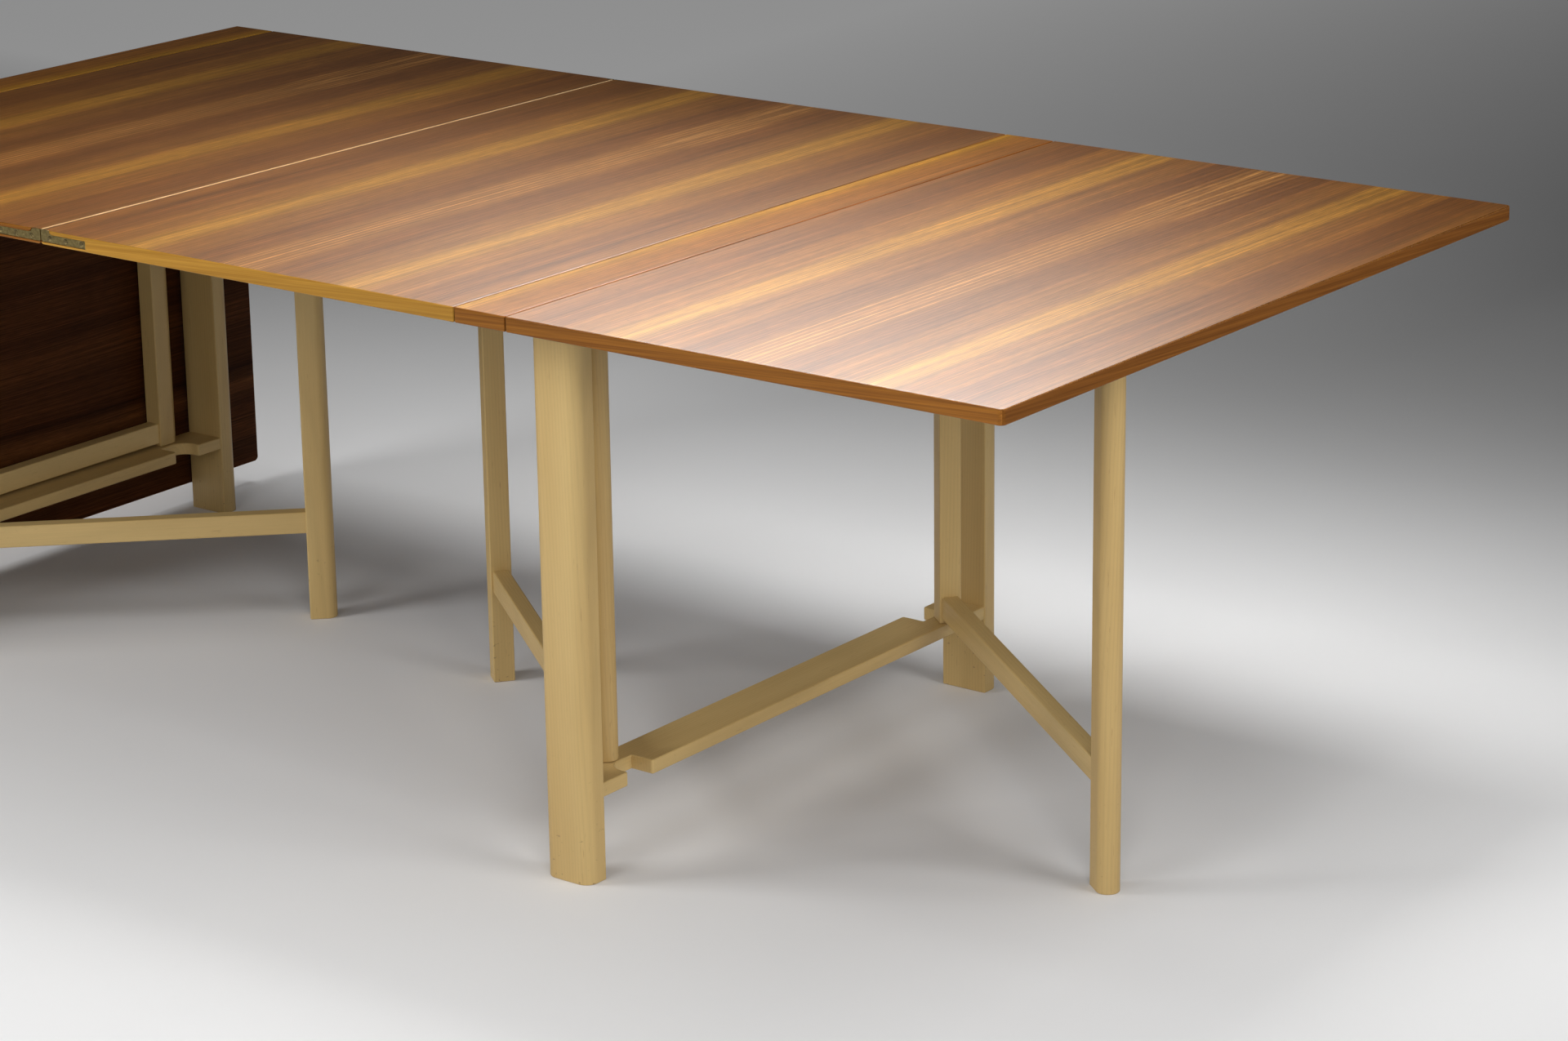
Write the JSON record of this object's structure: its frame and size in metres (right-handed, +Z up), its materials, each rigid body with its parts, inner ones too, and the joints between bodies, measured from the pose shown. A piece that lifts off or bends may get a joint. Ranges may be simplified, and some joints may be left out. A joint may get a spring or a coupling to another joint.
{
  "type": "folding dining table",
  "caption": "Long folding dining table with a hinged veneered top, slim leg frames and swinging gate legs that hold the leaves up; the left end leaf hangs down.",
  "frame": {"origin": "floor level under the middle of the table's box, as it stands with the left end leaf hanging", "axes": "+X along the row of boards towards the raised right end leaf, +Y across the table towards the far side, +Z up"},
  "size_m": [2.1586, 1.094, 0.72],
  "materials": {
    "brown_veneer": "brown figured veneer, satin, grain across the table",
    "golden_veneer": "golden brown veneer, satin, grain across the table",
    "honey_birch": "solid pale hardwood, clear satin lacquer",
    "brass": "dull worn brass",
    "steel": "plain steel pin"
  },
  "bodies": {
    "root": {"strip_left": "golden_veneer", "strip_right": "golden_veneer", "inner_leaf_left": "brown_veneer", "inner_leaf_right": "brown_veneer", "end_leaf_right": "brown_veneer", "leg_left_near": "honey_birch", "leg_left_far": "honey_birch", "leg_right_near": "honey_birch", "leg_right_far": "honey_birch", "stretcher_left": "honey_birch", "stretcher_right": "honey_birch", "top_rail_left": "honey_birch", "top_rail_right": "honey_birch", "end_gate_left_post": "honey_birch", "end_gate_left_lower_rail": "honey_birch", "end_gate_left_upper_rail": "honey_birch", "end_gate_left_leg": "honey_birch", "end_gate_left_lower_pin": "steel", "end_gate_left_upper_pin": "steel", "end_gate_right_lower_pin": "steel", "end_gate_right_upper_pin": "steel", "inner_gate_left_lower_pin": "steel", "inner_gate_left_upper_pin": "steel", "inner_gate_right_lower_pin": "steel", "inner_gate_right_upper_pin": "steel", "middle_hinge_near_left_plate": "brass", "middle_hinge_near_right_plate": "brass", "middle_hinge_near_link": "brass", "middle_hinge_far_left_plate": "brass", "middle_hinge_far_right_plate": "brass", "middle_hinge_far_link": "brass", "end_hinge_left_near_strip_plate": "brass", "end_hinge_left_far_strip_plate": "brass", "end_hinge_right_near_strip_plate": "brass", "end_hinge_right_near_leaf_plate": "brass", "end_hinge_right_far_strip_plate": "brass", "end_hinge_right_far_leaf_plate": "brass", "inner_hinge_left_near_strip_plate": "brass", "inner_hinge_left_near_leaf_plate": "brass", "inner_hinge_left_far_strip_plate": "brass", "inner_hinge_left_far_leaf_plate": "brass", "inner_hinge_right_near_strip_plate": "brass", "inner_hinge_right_near_leaf_plate": "brass", "inner_hinge_right_far_strip_plate": "brass", "inner_hinge_right_far_leaf_plate": "brass"},
    "end_leaf_left": {"end_leaf_left": "brown_veneer", "end_hinge_left_near_leaf_plate": "brass", "end_hinge_left_far_leaf_plate": "brass"},
    "end_gate_right": {"end_gate_right_post": "honey_birch", "end_gate_right_lower_rail": "honey_birch", "end_gate_right_upper_rail": "honey_birch", "end_gate_right_leg": "honey_birch"},
    "inner_gate_right": {"inner_gate_right_post": "honey_birch", "inner_gate_right_lower_rail": "honey_birch", "inner_gate_right_upper_rail": "honey_birch", "inner_gate_right_leg": "honey_birch"},
    "inner_gate_left": {"inner_gate_left_post": "honey_birch", "inner_gate_left_lower_rail": "honey_birch", "inner_gate_left_upper_rail": "honey_birch", "inner_gate_left_leg": "honey_birch"}
  },
  "joints": [
    {"name": "end_leaf_left_raise", "type": "hinge", "parent": "root", "child": "end_leaf_left", "pos_m": [-1.0582, 0, 0.6989], "axis": [0, 1, 0], "range_deg": [0, 90]},
    {"name": "end_gate_right_swing", "type": "hinge", "parent": "root", "child": "end_gate_right", "pos_m": [0.3988, 0.327, 0.35], "axis": [0, 0, 1], "range_deg": [-51.5, 38.5]},
    {"name": "inner_gate_right_swing", "type": "hinge", "parent": "root", "child": "inner_gate_right", "pos_m": [0.3598, -0.327, 0.35], "axis": [0, 0, 1], "range_deg": [-52, 38]},
    {"name": "inner_gate_left_swing", "type": "hinge", "parent": "root", "child": "inner_gate_left", "pos_m": [-1.0012, -0.327, 0.35], "axis": [0, 0, 1], "range_deg": [-44, 46]}
  ]
}
